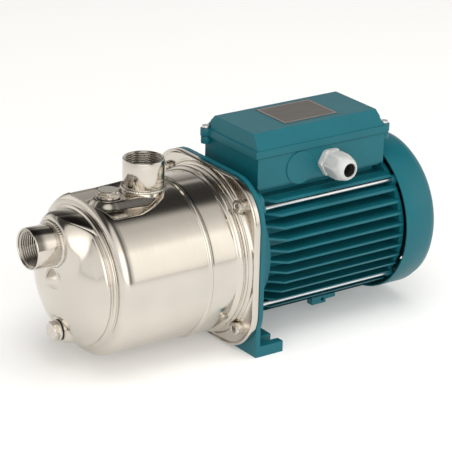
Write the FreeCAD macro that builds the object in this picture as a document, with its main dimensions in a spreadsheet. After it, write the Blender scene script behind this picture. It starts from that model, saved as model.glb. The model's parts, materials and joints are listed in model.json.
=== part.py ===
"""Shallow well jet pump: stainless casing, motor bracket with foot, and a fan-cooled motor.

Frame: +X runs from the suction port to the fan, +Z is up, and z = 0 is the foot's base plane.
x = 0 is the bracket's front face and y = 0 is the plane of symmetry. Millimetres throughout.
"""
import FreeCAD, Part
import Sketcher
import math
import os
import re

SIZES = {
    # overall
    "shaft_height": 88.5,
    # pressed pump casing, x is measured from the bracket's face
    "sheet": 2.0,
    "casing_radius": 78.7,
    "dome_x": -176.0,
    "shoulder_x": -141.0,
    "bead_x": -50.5,
    "flare_x": -17.0,
    "flange_x": -5.0,
    "flange_half": 86.0,
    "flange_corner": 45.0,
    "flat_height": 66.0,
    # pipe sockets, G1
    "socket_radius": 20.0,
    "thread_radius": 16.62,
    "suction_x": -203.0,
    "suction_z": 38.3,
    "pad_x": -177.0,
    "pad_radius": 31.0,
    "delivery_x": -76.4,
    "delivery_z": 104.5,
    "neck_z": 76.0,
    "neck_x": -80.0,
    "neck_long": 23.5,
    "neck_wide": 22.5,
    # fill and drain plugs, G1/4
    "plug_thread": 6.58,
    "plug_bore": 6.65,
    "plug_collar": 11.6,
    "plug_flats": 19.0,
    "washer_thick": 1.2,
    "fill_x": -115.6,
    "fill_z": 72.0,
    "ridge_half": 15.0,
    "drain_x": -170.0,
    "drain_z": -50.0,
    # bracket and foot
    "plate_thick": 5.0,
    "barrel_radius": 66.0,
    "barrel_end": 25.0,
    "screw_pitch": 62.5,
    "foot_depth": 32.0,
    "foot_half": 82.7,
    "foot_thick": 11.0,
    "slot_inner": 62.5,
    "slot_outer": 74.0,
    "slot_end": 20.0,
    # motor
    "rod_y": 52.0,
    "rod_z": 49.5,
    "rod_radius": 2.0,
    "core_radius": 56.0,
    "stator_radius": 51.5,
    "fin_radius": 74.8,
    "fin_start": 41.0,
    "fin_end": 181.0,
    "fin_pitch": 11.0,
    "fin_top": 53.6,
    "fin_thick": 2.2,
    "stack_start": 55.0,
    "stack_end": 135.0,
    "cover_start": 183.4,
    "cover_end": 224.0,
    "cover_radius": 78.8,
    "cover_sheet": 1.2,
    # shaft and bearings
    "shaft_radius": 7.0,
    "journal_radius": 7.5,
    "bearing_outer": 17.5,
    "bearing_width": 11.0,
    "front_bearing": 14.0,
    "rear_bearing": 166.0,
    "ball_circle": 12.5,
    "ball_radius": 2.95,
    # impeller
    "impeller_radius": 54.0,
    "impeller_x": -43.0,
    "eye_radius": 16.0,
    # terminal box
    "box_start": 24.4,
    "box_end": 176.6,
    "box_half": 44.2,
    "box_bottom": 66.8,
    "box_split": 96.7,
    "box_wall": 2.5,
    "knockout_x": 74.5,
    "knockout_radius": 16.5,
    "lid_rim": 104.8,
    "lid_top": 118.4,
    "lid_top_half": 32.2,
    # cable gland
    "gland_x": 109.5,
    "gland_z": 80.0,
    "gland_bore": 5.5,
    "gland_flats": 25.0,
    "ear_out": 3.0,
    "ear_in": 5.0,
}

doc = FreeCAD.newDocument("jet_pump")
sheet = doc.addObject("Spreadsheet::Sheet", "Sizes")
for row, (alias, value) in enumerate(SIZES.items(), start=1):
    sheet.set(f"A{row}", alias)
    sheet.set(f"B{row}", str(value))
    sheet.setAlias(f"B{row}", alias)
doc.recompute()

VENT_ANGLE = 125
BELLOWS_STEP = 1.6
BELLOWS_SHEET = 0.9
EARS = (("box_start - ear_out", "box_half - ear_in"), ("box_end + ear_out", "-box_half + ear_in"))
NODES = {}
ALONG = {
    "X": FreeCAD.Rotation(FreeCAD.Vector(0, 1, 0), 90),
    "Y": FreeCAD.Rotation(FreeCAD.Vector(1, 0, 0), -90),
    "Z": FreeCAD.Rotation(),
}


# ---------------------------------------------------------------- expressions

def cells(text):
    """The expression with every size written as its cell in the sheet."""
    return re.sub(r"[a-z_]{3,}", lambda m: f"Sizes.{m[0]}" if m[0] in SIZES else m[0], str(text))


def number(text):
    """The value that an expression of the sheet's sizes has now."""
    return float(sheet.evalExpression(cells(text)))


def bind(feature, **properties):
    """Bind each property to an expression of the sheet's sizes."""
    for name, text in properties.items():
        feature.setExpression(name, cells(text))
    return feature


def move(feature, x="0", y="0", z="0", rotation=None):
    """Put a feature at a bound place, turned by a rotation."""
    if rotation is not None:
        feature.Placement = FreeCAD.Placement(FreeCAD.Vector(), rotation)
    for axis, text in zip("xyz", (x, y, z)):
        feature.setExpression(f"Placement.Base.{axis}", cells(text))
    return feature


def keep(node, feature):
    """Name a finished sub-part."""
    feature.Label = node
    NODES[node] = feature
    return feature


# ---------------------------------------------------------------- primitives

def add(kind, **properties):
    return bind(doc.addObject(f"Part::{kind}", kind.lower()), **properties)


def lay(feature, start, axis, across, up):
    """Lay a feature along an axis; across and up place it on the other two, in X, Y, Z order."""
    spots = {"X": (start, across, up), "Y": (across, start, up), "Z": (across, up, start)}
    return move(feature, *spots[axis], rotation=ALONG[axis])


def rod(radius, start, end, axis="X", across="0", up="shaft_height"):
    """A cylinder between two places on an axis."""
    return lay(add("Cylinder", Radius=radius, Height=f"({end}) - ({start})"), start, axis, across, up)


def cone(radius1, radius2, start, end, axis="X", across="0", up="shaft_height"):
    """A cone between two places on an axis."""
    feature = add("Cone", Radius1=radius1, Radius2=radius2, Height=f"({end}) - ({start})")
    return lay(feature, start, axis, across, up)


def hexagon(flats, start, end, axis="X", across="0", up="shaft_height"):
    """A hexagonal prism with the given width across its flats."""
    feature = add("Prism", Circumradius=f"({flats}) / sqrt(3)", Height=f"({end}) - ({start})")
    feature.Polygon = 6
    return lay(feature, start, axis, across, up)


def box(x, y, z):
    """A box between two expressions on each axis."""
    sides = {"Length": x, "Width": y, "Height": z}
    feature = add("Box", **{name: f"({side[1]}) - ({side[0]})" for name, side in sides.items()})
    return move(feature, x[0], y[0], z[0])


def fuse(*parts):
    feature = doc.addObject("Part::MultiFuse", "fuse")
    feature.Shapes = list(parts)
    return feature


def cut(base, *tools):
    feature = doc.addObject("Part::Cut", "cut")
    feature.Base = base
    feature.Tool = tools[0] if len(tools) == 1 else fuse(*tools)
    return feature


def common(*parts):
    feature = doc.addObject("Part::MultiCommon", "common")
    feature.Shapes = list(parts)
    return feature


def group(*parts):
    """Separate solids that share one node."""
    feature = doc.addObject("Part::Compound", "group")
    feature.Links = list(parts)
    return feature


def tube(outer, inner, start, end, axis="X", across="0", up="shaft_height"):
    return cut(rod(outer, start, end, axis, across, up), rod(inner, start, end, axis, across, up))


# ---------------------------------------------------------------- sketched bodies

def outline(sketch, corners):
    """A closed outline through corners, each held by two bound distances from the origin."""
    spots = [FreeCAD.Vector(number(a), number(b), 0) for a, b in corners]
    count = len(spots)
    for index in range(count):
        sketch.addGeometry(Part.LineSegment(spots[index], spots[(index + 1) % count]), False)
    for index, corner in enumerate(corners):
        sketch.addConstraint(Sketcher.Constraint("Coincident", (index - 1) % count, 2, index, 1))
        for name, text, value in zip(("DistanceX", "DistanceY"), corner, spots[index]):
            row = sketch.addConstraint(Sketcher.Constraint(name, -1, 1, index, 1, value))
            sketch.setExpression(f"Constraints[{row}]", cells(text))


def sketched(plane, corners):
    """A body with one outline on one of its origin planes."""
    body = doc.addObject("PartDesign::Body", "body")
    sketch = body.newObject("Sketcher::SketchObject", "profile")
    planes = {feature.Role: feature for feature in body.Origin.OriginFeatures}
    sketch.AttachmentSupport = (planes[plane], "")
    sketch.MapMode = "FlatFace"
    outline(sketch, corners)
    return body, sketch


def turned(corners, x="0", z="shaft_height"):
    """A body turned about the shaft's axis from (x, radius) corners."""
    body, sketch = sketched("XZ_Plane", corners)
    turn = body.newObject("PartDesign::Revolution", "turn")
    turn.Profile = sketch
    turn.ReferenceAxis = (sketch, ["H_Axis"])
    turn.Angle = 360
    return move(body, x=x, z=z)


def slab(corners, start, end, z="shaft_height"):
    """A plate with a (y, z) outline between two places on X."""
    body, sketch = sketched("YZ_Plane", corners)
    pad = body.newObject("PartDesign::Pad", "pad")
    pad.Profile = sketch
    bind(pad, Length=f"({end}) - ({start})")
    return move(body, x=start, z=z)


def rounded_square(half, start, end):
    """The flange's outline: a square with large round corners, about the shaft's axis."""
    side = f"(({half}) - flange_corner)"
    bars = [
        box((start, end), (f"-({half})", half), (f"shaft_height - {side}", f"shaft_height + {side}")),
        box((start, end), (f"-{side}", side), (f"shaft_height - ({half})", f"shaft_height + ({half})")),
    ]
    corners = [
        rod("flange_corner", start, end, "X", f"{y} * {side}", f"shaft_height + {z} * {side}")
        for y in (-1, 1) for z in (-1, 1)
    ]
    return fuse(*bars, *corners)


def four(maker, y, z):
    """One piece at each corner of a square about the shaft's axis."""
    return [
        maker(f"{side} * ({y})", f"shaft_height + {level} * ({z})")
        for side in (-1, 1) for level in (-1, 1)
    ]


# ---------------------------------------------------------------- pump casing

def casing_profile(inset, edge):
    """The drawn shell's (x, radius) outline, inset by the sheet and closed at the flange."""
    return [
        (f"dome_x + {inset}", "0"),
        (f"dome_x + 0.6 + {inset}", "20"),
        (f"dome_x + 4 + {inset}", f"40 - 0.4 * {inset}"),
        (f"dome_x + 9.5 + {inset}", f"54 - 0.7 * {inset}"),
        (f"dome_x + 17 + 0.7 * {inset}", f"63 - 0.8 * {inset}"),
        (f"dome_x + 21 + 0.5 * {inset}", f"66 - {inset}"),
        (f"shoulder_x - 8.5 + 0.5 * {inset}", f"67.5 - {inset}"),
        (f"shoulder_x - 6 + 0.8 * {inset}", f"70.5 - 0.8 * {inset}"),
        (f"shoulder_x - 3.5 + 0.6 * {inset}", f"casing_radius - 3.2 - {inset}"),
        (f"shoulder_x + 0.3 * {inset}", f"casing_radius - {inset}"),
        (f"bead_x - 3.5", f"casing_radius - {inset}"),
        (f"bead_x - 1.5", f"casing_radius + 1.2 - {inset}"),
        (f"bead_x + 1.5", f"casing_radius + 1.2 - {inset}"),
        (f"bead_x + 3.5", f"casing_radius - {inset}"),
        (f"flare_x", f"casing_radius - {inset}"),
        (f"flare_x + 3", f"casing_radius + 0.9 - {inset}"),
        (f"flare_x + 9", f"casing_radius + 4.3 - {inset}"),
        (edge, f"casing_radius + 5.5 - {inset}"),
        (edge, "0"),
    ]


def flat_outline(grow):
    """Half plan of the flat pressed into the casing's top, as (x, y) corners."""
    return [
        (f"shoulder_x - 1 - {grow}", f"16 + {grow}"),
        (f"shoulder_x + 8 - {grow}", f"41 + {grow}"),
        (f"shoulder_x + 36", f"41 + {grow}"),
        (f"shoulder_x + 53 + {grow}", f"35 + {grow}"),
        (f"shoulder_x + 66 + {grow}", f"27 + {grow}"),
        (f"delivery_x + 10 + {grow}", f"16 + {grow}"),
    ]


def flat_block(grow, bottom):
    """What the flat takes off the casing's top, down to the given height."""
    near = flat_outline(grow)
    corners = near + [(x, f"-({y})") for x, y in reversed(near)]
    body, sketch = sketched("XY_Plane", corners)
    pad = body.newObject("PartDesign::Pad", "pad")
    pad.Profile = sketch
    bind(pad, Length="casing_radius")
    return move(body, z=f"shaft_height + {bottom}")


def ridge(inset):
    """The ridge pressed up on the flat, from the fill plug to the delivery neck."""
    bottom = "shaft_height + flat_height - 8"
    top = f"shaft_height + fill_z - {inset}"
    return fuse(
        rod(f"ridge_half - {inset}", bottom, top, "Z", "fill_x", "0"),
        box(("fill_x", "neck_x"), (f"{inset} - ridge_half", f"ridge_half - {inset}"), (bottom, top)),
    )


def pump_casing():
    outer = fuse(
        turned(casing_profile("0", "flange_x")),
        rod("pad_radius", "pad_x", "shoulder_x - 6", up="shaft_height + suction_z"),
    )
    outer = cut(
        outer,
        flat_block("0", "flat_height"),
        *four(lambda y, z: rod("8.5", "flare_x - 8", "flange_x", "X", y, z), "screw_pitch", "screw_pitch"),
    )
    outer = fuse(outer, ridge("0"))
    flange = rounded_square("flange_half", "flange_x", "-0.5")
    inner = fuse(
        turned(casing_profile("sheet", "flange_x + sheet")),
        rod("pad_radius - sheet", "pad_x + sheet", "shoulder_x - 2", up="shaft_height + suction_z"),
    )
    inner = cut(
        inner,
        flat_block("sheet", "flat_height - sheet"),
        *four(
            lambda y, z: rod("8.5 + sheet", "flare_x - 8", "flange_x + sheet", "X", y, z),
            "screw_pitch", "screw_pitch",
        ),
    )
    inner = fuse(inner, ridge("sheet"))
    recess = cut(
        rounded_square("flange_half - sheet", "flange_x + sheet", "0"),
        *four(lambda y, z: rod("6", "flange_x", "1", "X", y, z), "screw_pitch", "screw_pitch"),
    )
    holes = [
        rod("thread_radius", "pad_x - 1", "pad_x + sheet + 1", up="shaft_height + suction_z"),
        neck_loft("flat_height - 12", "flat_height", "sheet"),
        rod("plug_collar", "shaft_height + flat_height - 8", "shaft_height + fill_z + 1", "Z", "fill_x", "0"),
        rod("plug_collar", "drain_x - 4", "drain_x + 14", up="shaft_height + drain_z"),
        neck_skin("0"),
        rod("socket_radius", "shaft_height + neck_z", "shaft_height + delivery_z", "Z", "delivery_x", "0"),
        low_side(rod("2.6", "casing_radius - 6", "casing_radius + 2", "Z", "0", "0"),
                 rod("4.2", "casing_radius + 0.1", "casing_radius + 3", "Z", "0", "0")),
    ]
    screws = four(lambda y, z: rod("4.3", "flange_x - 1", "1", "X", y, z), "screw_pitch", "screw_pitch")
    keep("pump_casing", cut(fuse(outer, flange), inner, recess, *holes, *screws))


def ellipse_at(height, long, wide):
    """A closed ellipse in a horizontal plane, about the neck's foot."""
    wire = add("Ellipse", MajorRadius=long, MinorRadius=wide)
    return move(wire, x="neck_x", z=f"shaft_height + {height}")


def neck_loft(bottom, top, inset):
    """The space inside the delivery neck's foot, straight through the casing's flat."""
    wires = [ellipse_at(level, f"neck_long - {inset}", f"neck_wide - {inset}") for level in (bottom, top)]
    return loft(wires)


def loft(wires):
    feature = doc.addObject("Part::Loft", "loft")
    feature.Sections = wires
    feature.Solid = True
    feature.Ruled = True
    return feature


def neck_skin(inset):
    """The neck's outside, or its inside when inset by the sheet."""
    ring = add("Circle", Radius=f"socket_radius - {inset}")
    move(ring, x="delivery_x", z="shaft_height + neck_z")
    return loft([ellipse_at("flat_height", f"neck_long - {inset}", f"neck_wide - {inset}"), ring])


def delivery_neck():
    """Pressed neck between the casing's flat and the upright delivery socket."""
    keep("delivery_neck", cut(neck_skin("0"), neck_skin("sheet")))


def sockets():
    """Two G1 pipe sockets; each bore has the thread's major radius."""
    keep("suction_socket", tube(
        "socket_radius", "thread_radius", "suction_x", "pad_x", up="shaft_height + suction_z"))
    keep("delivery_socket", tube(
        "socket_radius", "thread_radius", "shaft_height + neck_z", "shaft_height + delivery_z",
        "Z", "delivery_x", "0"))


# ---------------------------------------------------------------- plugs

def plugs():
    """Fill plug on top and drain plug in the dome, each on a sealing washer in a welded boss."""
    top = "shaft_height + fill_z"
    keep("fill_boss", tube("plug_collar", "plug_bore", f"{top} - 12", top, "Z", "fill_x", "0"))
    keep("fill_plug_washer", tube(
        "plug_collar - 0.6", "plug_thread + 0.5", top, f"{top} + washer_thick", "Z", "fill_x", "0"))
    seat = f"{top} + washer_thick"
    keep("fill_plug", fuse(
        rod("plug_collar", seat, f"{seat} + 1.6", "Z", "fill_x", "0"),
        hexagon("plug_flats", f"{seat} + 1.6", f"{seat} + 7", "Z", "fill_x", "0"),
        rod("plug_thread", f"{seat} - 10", seat, "Z", "fill_x", "0"),
    ))
    middle = "shaft_height + drain_z"
    keep("drain_boss", tube("plug_collar", "plug_bore", "drain_x", "drain_x + 12", up=middle))
    keep("drain_plug_washer", tube(
        "plug_collar - 1.4", "plug_thread + 0.5", "drain_x - washer_thick", "drain_x", up=middle))
    seat = "drain_x - washer_thick"
    keep("drain_plug", fuse(
        rod("plug_collar - 1.2", f"{seat} - 1.6", seat, up=middle),
        hexagon("plug_flats - 2", f"{seat} - 7", f"{seat} - 1.6", up=middle),
        rod("plug_thread", seat, f"{seat} + 10", up=middle),
    ))


def low_side(*parts):
    """Parts made upright about the Z axis, turned to point out of the casing's low near side."""
    turn = FreeCAD.Rotation(FreeCAD.Vector(1, 0, 0), VENT_ANGLE)
    return move(fuse(*parts), x="flare_x - 9", z="shaft_height", rotation=turn)


def vent_screw():
    """Small screw that points straight out of the casing's cylinder."""
    keep("vent_screw", low_side(
        rod("4.2", "casing_radius + 0.1", "casing_radius + 2.6", "Z", "0", "0"),
        rod("2.6", "casing_radius - 6", "casing_radius + 0.1", "Z", "0", "0"),
    ))


def casing_screws():
    """Four M8 socket-head screws through the flange's corners into the bracket."""
    def screw(y, z):
        head = rod("6.5", "flange_x - 8", "flange_x", "X", y, z)
        stem = rod("3.9", "flange_x", "plate_thick + 6", "X", y, z)
        return cut(fuse(head, stem), hexagon("6", "flange_x - 8", "flange_x - 4", "X", y, z))

    keep("casing_screws", group(*four(screw, "screw_pitch", "screw_pitch")))


# ---------------------------------------------------------------- inside the casing

def hydraulics():
    """Suction duct, ejector, diffuser, wear ring and the cover that carries the shaft seal."""
    port = "shaft_height + suction_z"
    keep("suction_duct", cut(
        fuse(rod("16.5", "pad_x + sheet", "pad_x + 4", up=port),
             rod("11.8", "pad_x + 4", "pad_x + 30", up=port),
             rod("11", "shaft_height + 25.9", port, "Z", "pad_x + 18", "0")),
        rod("10", "pad_x + sheet - 1", "pad_x + 28", up=port),
        rod("9", "shaft_height + 25", port, "Z", "pad_x + 18", "0"),
    ))
    keep("ejector_body", cut(
        turned([
            ("-171", "8"), ("-171", "26"), ("-142", "26"), ("-128", "14"), ("-100", "14"),
            ("-66", "22"), ("-66", "19.5"), ("-100", "9"), ("-124", "7.5"), ("-140", "22"),
            ("-163", "22"), ("-163", "8"),
        ]),
        rod("11.1", "shaft_height + 18", "shaft_height + 30", "Z", "pad_x + 18", "0"),
    ))
    keep("ejector_nozzle", turned([
        ("-172.5", "3.8"), ("-172.5", "11"), ("-171", "11"), ("-171", "7.9"), ("-150", "7.9"),
        ("-132", "4.6"), ("-132", "3"), ("-150", "5.8"),
    ]))
    keep("diffuser", turned([
        ("-66", "22.4"), ("-66", "63"), ("-34", "63"), ("-34", "56"), ("-36", "56"),
        ("-36", "60.5"), ("-57", "60.5"), ("-61.5", "21.4"), ("-63", "21.4"), ("-63", "22.4"),
    ]))
    keep("wear_ring", tube("21.3", "eye_radius + 2.6", "-62.5", "-57.6"))
    keep("seal_plate", turned([
        ("-2.5", "82"), ("0", "82"), ("0", "10.5"), ("-3", "10.5"), ("-3", "13.5"), ("-11", "13.5"),
        ("-11", "17"), ("-2.5", "20"), ("-2.5", "72"), ("-8", "72"), ("-8", "73.8"), ("-2.5", "73.8"),
    ]))
    gasket = add("Torus", Radius1="75.6", Radius2="1.7")
    keep("casing_gasket", move(gasket, x="-4.2", z="shaft_height", rotation=ALONG["X"]))
    keep("seal_seat", tube("13.4", "shaft_radius + 0.6", "-10", "-3"))


def blade(start, end):
    """One curved impeller blade, an arc plate between the hub and the rim."""
    ring = tube("34", "31.8", start, end, across="30", up="shaft_height")
    return common(ring, tube("impeller_radius", "14", start, end),
                  box((start, end), ("0", "80"), ("shaft_height", "shaft_height + 80")))


def impeller():
    """Closed impeller: hub, two shrouds, six curved blades and the eye's neck."""
    hub = fuse(
        rod("13", "-52", "impeller_x + 14"),
        rod("impeller_radius", "impeller_x", "impeller_x + 2.5"),
    )
    front = cut(rod("impeller_radius", "-54.5", "-52"), rod("eye_radius", "-55", "-51"))
    neck = tube("eye_radius + 2.5", "eye_radius", "-61", "-54.5")
    blades = []
    for turn in range(6):
        plate = doc.addObject("Part::Compound", "turned_blade")
        plate.Links = [blade("-52", "impeller_x")]
        spin = FreeCAD.Rotation(FreeCAD.Vector(1, 0, 0), turn * 60)
        centre = FreeCAD.Vector(0, 0, number("shaft_height"))
        plate.Placement = FreeCAD.Placement(FreeCAD.Vector(), spin, centre)
        blades.append(plate)
    wheel = fuse(hub, front, neck, *blades)
    keep("impeller", cut(
        wheel,
        rod("shaft_radius", "-53", "-28"),
        box(("-51", "-35"), ("-2", "2"), ("shaft_height + 5", "shaft_height + 9")),
    ))
    keep("impeller_key", box(("-51", "-35"), ("-2", "2"), ("shaft_height + 4.8", "shaft_height + 9")))
    keep("impeller_nut", cut(hexagon("17", "-60", "-52"), rod("4.5", "-61", "-51")))


def shaft_seal():
    """The turning half of the shaft seal: carbon ring and the bellows that presses it."""
    keep("seal_ring", tube("12", "shaft_radius", "-15", "-10.05"))
    folds = [(-28.1 + BELLOWS_STEP * step, 11 if step % 2 else 9.2) for step in range(9)]
    inner = [(x, radius - BELLOWS_SHEET) for x, radius in reversed(folds)]
    keep("seal_bellows", turned([(f"{x}", f"{radius}") for x, radius in folds + inner]))
    keep("slinger", tube("16", "shaft_radius", "3", "6"))


# ---------------------------------------------------------------- bracket

def pump_bracket():
    """Cast bracket: square plate, barrel, front bearing seat, and a foot with two open slots."""
    pedestal = slab([
        ("-foot_half", "0"), ("foot_half", "0"), ("foot_half", "31"), ("41", "36"), ("-41", "36"),
        ("-foot_half", "31"),
    ], "0", "plate_thick", z="0")
    seat = fuse(
        rod("24", "plate_thick", "front_bearing + bearing_width + 2"),
        rod("barrel_radius", "plate_thick", "plate_thick + 4"),
    )
    bosses = four(lambda y, z: rod("6.5", "0", "barrel_end", "X", y, z), "rod_y", "rod_z")
    bosses += four(lambda y, z: rod("8", "0", "plate_thick + 9", "X", y, z), "screw_pitch", "screw_pitch")
    ribs = [
        box(("0", "barrel_end"), (f"{y}", f"{y} + 6"), ("foot_thick - 1", "shaft_height - 62"))
        for y in (-36, -3, 30)
    ]
    solid = fuse(
        rounded_square("flange_half", "0", "plate_thick"),
        pedestal,
        box(("0", "foot_depth"), ("-foot_half", "foot_half"), ("0", "foot_thick")),
        tube("barrel_radius", "barrel_radius - 5", "plate_thick", "barrel_end"),
        seat, *bosses, *ribs,
    )
    slots = []
    for side in (-1, 1):
        middle = f"{side} * (slot_inner + slot_outer) / 2"
        width = "(slot_outer - slot_inner) / 2"
        slots.append(rod(width, "-1", "foot_thick + 1", "Z", "slot_end", middle))
        slots.append(box(("slot_end", "foot_depth + 1"),
                         (f"{middle} - {width}", f"{middle} + {width}"), ("-1", "foot_thick + 1")))
    holes = [
        rod("19", "-1", "8"),
        rod("9.5", "7", "30"),
        rod("bearing_outer", "front_bearing", "front_bearing + bearing_width + 3"),
    ]
    holes += four(lambda y, z: rod("3.95", "-1", "plate_thick + 7", "X", y, z),
                  "screw_pitch", "screw_pitch")
    holes += four(lambda y, z: rod("rod_radius + 0.02", "12", "barrel_end + 1", "X", y, z),
                  "rod_y", "rod_z")
    keep("pump_bracket", cut(solid, *slots, *holes))


# ---------------------------------------------------------------- motor

def motor_housing():
    """Finned housing: a round core, level fins out to a round outline, and the box's pad."""
    fins = []
    level = 0
    while number(f"fin_top + fin_pitch - {level} * fin_pitch") > -number("fin_radius") + 6:
        middle = f"shaft_height + fin_top + fin_pitch - {level} * fin_pitch"
        fins.append(box(("barrel_end", "fin_end"), ("-fin_radius", "fin_radius"),
                        (f"{middle} - fin_thick / 2", f"{middle} + fin_thick / 2")))
        level += 1
    envelope = turned([
        ("barrel_end", "0"), ("barrel_end", "core_radius + 5"), ("fin_start", "fin_radius"),
        ("fin_end", "fin_radius"), ("fin_end", "0"),
    ])
    pad = box(("barrel_end + 4", "box_end - 2"), ("-40", "40"),
              ("shaft_height + 40", "shaft_height + box_bottom"))
    lugs = [
        box((f"{start}", f"{end}"), (low, high), (f"shaft_height - {deep}", "shaft_height - 66"))
        for start, end, low, high, deep in (
            (104, 121, "-33", "-25", 75), (104, 121, "25", "33", 75), (121, 135, "-30", "-20", 73),
            (121, 135, "20", "30", 73))
    ]
    webs = [
        box(("barrel_end + 8", "fin_end"), (f"{middle} - 1.3", f"{middle} + 1.3"),
            ("shaft_height - 67", "shaft_height - 50"))
        for middle in ("-22", "0", "22")
    ]
    solid = fuse(
        rod("core_radius", "barrel_end", "fin_end"),
        rod("barrel_radius - 5.1", "barrel_end - 4", "barrel_end"),
        rod("barrel_radius - 2", "barrel_end", "barrel_end + 3"),
        common(fuse(*fins), envelope),
        pad, *webs, *lugs,
    )
    clear = four(lambda y, z: rod("rod_radius + 1", "barrel_end - 5", "fin_end + 1", "X", y, z),
                 "rod_y", "rod_z")
    keep("motor_housing", cut(
        solid,
        rod("stator_radius", "barrel_end - 5", "fin_end + 1"),
        rod("12", "shaft_height + 50", "shaft_height + 70", "Z", "stack_start - 15", "0"),
        rod("2", "-40", "-20", "Y", "117", "shaft_height - 71"),
        *clear,
    ))


def ring_of(count, radius, maker):
    """Pieces at even angles about the shaft's axis."""
    steps = [2 * math.pi * index / count for index in range(count)]
    return [
        maker(f"({radius}) * {math.sin(step):.6f}", f"shaft_height + ({radius}) * {math.cos(step):.6f}")
        for step in steps
    ]


def windings_and_rotor():
    slots = ring_of(12, "42", lambda y, z: rod("3.4", "stack_start - 1", "stack_end + 1", "X", y, z))
    keep("stator_core", cut(tube("stator_radius - 0.05", "33", "stack_start", "stack_end"), *slots))
    bars = ring_of(12, "42", lambda y, z: rod("3.3", "stack_start - 4", "stack_end + 4", "X", y, z))
    keep("stator_windings", fuse(
        tube("48", "35", "stack_start - 15", "stack_start - 1"),
        tube("48", "35", "stack_end + 1", "stack_end + 15"),
        *bars,
    ))
    keep("rotor_core", fuse(
        tube("32.6", "9", "stack_start", "stack_end"),
        tube("31", "20", "stack_start - 6", "stack_start"),
        tube("31", "20", "stack_end", "stack_end + 6"),
    ))
    keep("motor_shaft", cut(
        fuse(
            rod("4.5", "-62.5", "-52"),
            rod("shaft_radius", "-52", "front_bearing - 1"),
            rod("journal_radius", "front_bearing - 1", "front_bearing + bearing_width"),
            rod("9", "front_bearing + bearing_width", "rear_bearing"),
            rod("journal_radius", "rear_bearing", "rear_bearing + bearing_width"),
            rod("6", "rear_bearing + bearing_width", "212"),
        ),
        box(("-51", "-35"), ("-2", "2"), ("shaft_height + 4.8", "shaft_height + 9")),
    ))


def bearing(name, start):
    """Deep-groove ball bearing: two grooved rings and eight balls."""
    end = f"{start} + bearing_width"
    middle = f"{start} + bearing_width / 2"
    place = dict(x=middle, z="shaft_height", rotation=ALONG["X"])
    grooves = [
        move(add("Torus", Radius1="ball_circle", Radius2="ball_radius + 0.05"), **place)
        for _ in range(2)
    ]
    keep(f"{name}_bearing_outer", cut(tube("bearing_outer", "14.3", start, end), grooves[0]))
    keep(f"{name}_bearing_inner", cut(tube("10.7", "journal_radius", start, end), grooves[1]))

    def ball(y, z):
        return move(add("Sphere", Radius="ball_radius"), middle, y, z)

    keep(f"{name}_bearing_balls", group(*ring_of(8, "ball_circle", ball)))


def rear_end():
    """Rear end shield with its bearing seat, tie rods and their nuts."""
    ears = four(lambda y, z: rod("5", "fin_end", "fin_end + 5", "X", y, z), "rod_y - 1", "rod_z - 1")
    arms = [
        move(box(("fin_end", "fin_end + 5"), ("-5", "5"), ("0", "67")), x="fin_end", z="shaft_height",
             rotation=FreeCAD.Rotation(FreeCAD.Vector(1, 0, 0), angle))
        for angle in (46.4, 133.6, 226.4, 313.6)
    ]
    for arm in arms:
        turn = arm.Placement.Rotation
        shift = turn.multVec(FreeCAD.Vector(0, -5, 0))
        move(arm, x="fin_end", y=f"{shift.y:.6f}", z=f"shaft_height + ({shift.z:.6f})")
    level, behind = ("shaft_height - 6", "shaft_height + 6"), ("-6", "6")
    legs = [
        box(("fin_end", "fin_end + 13"), ("68", "77"), level),
        box(("fin_end", "fin_end + 5"), ("0", "72"), level),
        box(("fin_end", "fin_end + 13"), behind, ("shaft_height - 77", "shaft_height - 68")),
        box(("fin_end", "fin_end + 5"), behind, ("shaft_height - 72", "shaft_height")),
    ]
    shield = fuse(
        *legs,
        rod("70", "fin_end", "fin_end + 5"),
        rod("stator_radius - 0.05", "fin_end - 6", "fin_end"),
        rod("24", "rear_bearing - 2", "fin_end + 5"),
        *ears, *arms,
    )
    keep("rear_end_shield", cut(
        shield,
        tube("48", "24", "fin_end - 7", "fin_end"),
        rod("bearing_outer", "rear_bearing - 3", "rear_bearing + bearing_width + 0.8"),
        rod("8", "rear_bearing", "fin_end + 6"),
        rod("2.05", "69", "80", "Y", "fin_end + 9", "shaft_height"),
        rod("2.05", "shaft_height - 80", "shaft_height - 69", "Z", "fin_end + 9", "0"),
        *four(lambda y, z: rod("rod_radius + 0.05", "fin_end - 1", "fin_end + 6", "X", y, z),
              "rod_y", "rod_z"),
    ))
    keep("bearing_wave_washer", tube(
        "bearing_outer - 0.2", "15", "rear_bearing + bearing_width", "rear_bearing + bearing_width + 0.8"))
    keep("tie_rods", group(*four(
        lambda y, z: rod("rod_radius", "12", "fin_end + 11", "X", y, z), "rod_y", "rod_z")))
    keep("tie_rod_nuts", group(*four(
        lambda y, z: cut(hexagon("7", "fin_end + 5", "fin_end + 9", "X", y, z),
                         rod("rod_radius", "fin_end + 4", "fin_end + 10", "X", y, z)),
        "rod_y", "rod_z")))


def fan():
    """Radial fan: hub, back plate and nine straight blades, held by a clip."""
    blades = [
        move(box(("196", "212"), ("-1", "1"), ("12", "66")), x="196", z="shaft_height",
             rotation=FreeCAD.Rotation(FreeCAD.Vector(1, 0, 0), turn * 40))
        for turn in range(9)
    ]
    for blade_box in blades:
        reach = blade_box.Placement.Rotation.multVec(FreeCAD.Vector(0, -1, 12))
        blade_box.setExpression("Placement.Base.y", f"{reach.y:.6f}")
        blade_box.setExpression("Placement.Base.z", cells(f"shaft_height + ({reach.z:.6f})"))
    keep("fan", cut(
        fuse(rod("14", "190", "210"), rod("66", "194", "196"), *blades),
        rod("6", "189", "211"),
    ))
    keep("fan_clip", tube("8.5", "6", "210", "211"))


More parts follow.
